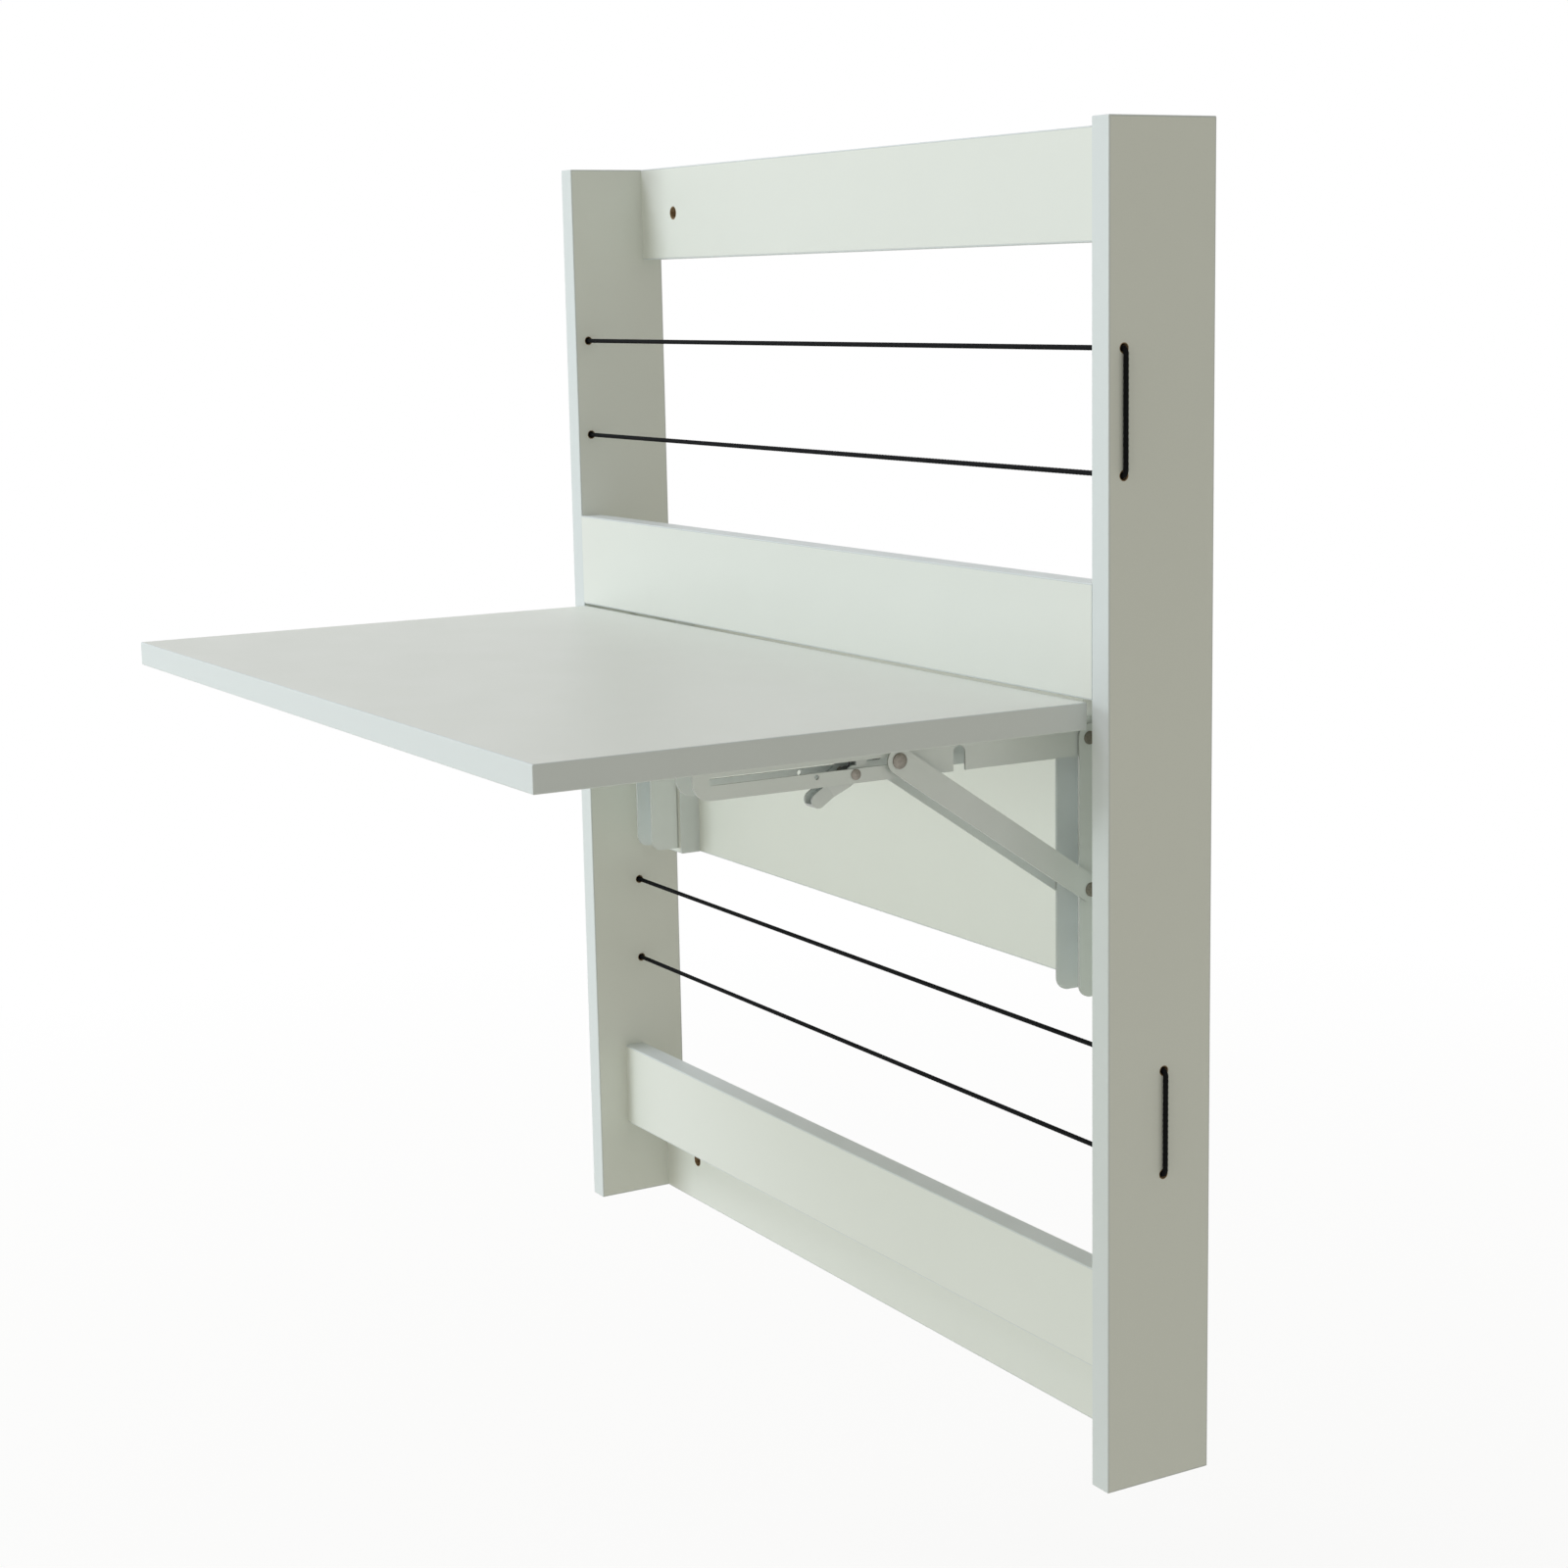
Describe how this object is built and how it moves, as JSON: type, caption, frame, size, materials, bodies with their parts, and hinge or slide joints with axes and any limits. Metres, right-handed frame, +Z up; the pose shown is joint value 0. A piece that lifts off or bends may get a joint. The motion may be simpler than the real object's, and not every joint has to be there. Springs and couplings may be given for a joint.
{
  "type": "wall mounted drop leaf table",
  "caption": "White board wall frame with elastic cord bays and a table leaf that folds down between its uprights on folding steel brackets.",
  "frame": {"origin": "centre of the four wall screws on the wall plane, which is also the middle of the frame's height and width", "axes": "+Y into the wall, +X to the right seen from the room, +Z up"},
  "size_m": [0.6906, 0.425, 0.8],
  "materials": {
    "white_board": "warm white melamine on particle board with matching edge band",
    "white_steel": "satin white powder coat",
    "rivet_steel": "dull dark rivet steel",
    "spring_steel": "oiled spring wire",
    "screw_steel": "zinc plated",
    "cam_zinc": "die-cast zinc",
    "dowel_wood": "fluted beech",
    "black_elastic": "black braided sleeve on rubber"
  },
  "bodies": {
    "frame": {"left_upright": "white_board", "left_batten": "white_board", "right_upright": "white_board", "right_batten": "white_board", "top_rail": "white_board", "bottom_rail": "white_board", "middle_rail": "white_board", "front_low_rail": "white_board", "back_panel": "white_board", "left_leg_channel": "white_steel", "right_leg_channel": "white_steel", "hinge_pins": "rivet_steel", "strut_pivot_pins": "rivet_steel", "leg_screws": "screw_steel", "batten_screws": "screw_steel", "cam_bolts": "screw_steel", "cam_discs": "cam_zinc", "rail_dowels": "dowel_wood", "upper_cord": "black_elastic", "lower_cord": "black_elastic", "upper_cord_knots": "black_elastic", "lower_cord_knots": "black_elastic"},
    "leaf": {"leaf": "white_board", "left_arm_channel": "white_steel", "right_arm_channel": "white_steel", "arm_screws": "screw_steel", "lever_rivets": "rivet_steel"},
    "left_strut": {"left_strut_bars": "white_steel", "left_slot_rivets": "rivet_steel"},
    "right_strut": {"right_strut_bars": "white_steel", "right_slot_rivets": "rivet_steel"},
    "left_lever": {"left_release_lever": "white_steel", "left_lever_spring": "spring_steel"},
    "right_lever": {"right_release_lever": "white_steel", "right_lever_spring": "spring_steel"}
  },
  "joints": [
    {"name": "leaf_fold", "type": "hinge", "parent": "frame", "child": "leaf", "pos_m": [0, -0.0475, 0.046], "axis": [1, 0, 0], "range_deg": [0, 90]},
    {"name": "left_strut_swing", "type": "hinge", "parent": "frame", "child": "left_strut", "pos_m": [-0.273, -0.0475, -0.045], "axis": [1, 0, 0], "range_deg": [0, 124.19]},
    {"name": "right_strut_swing", "type": "hinge", "parent": "frame", "child": "right_strut", "pos_m": [0.273, -0.0475, -0.045], "axis": [1, 0, 0], "range_deg": [0, 124.19]},
    {"name": "left_lever_squeeze", "type": "hinge", "parent": "leaf", "child": "left_lever", "pos_m": [-0.273, -0.2085, 0.0405], "axis": [1, 0, 0], "range_deg": [-12, 0], "stiffness_Nm_per_rad": 0.12, "springref_deg": 14.32},
    {"name": "right_lever_squeeze", "type": "hinge", "parent": "leaf", "child": "right_lever", "pos_m": [0.273, -0.2085, 0.0405], "axis": [1, 0, 0], "range_deg": [-12, 0], "stiffness_Nm_per_rad": 0.12, "springref_deg": 14.32}
  ],
  "couplings": [
    {"joint": "left_strut_swing", "follows": "leaf_fold", "ratio": 1.3798},
    {"joint": "right_strut_swing", "follows": "leaf_fold", "ratio": 1.3798}
  ]
}
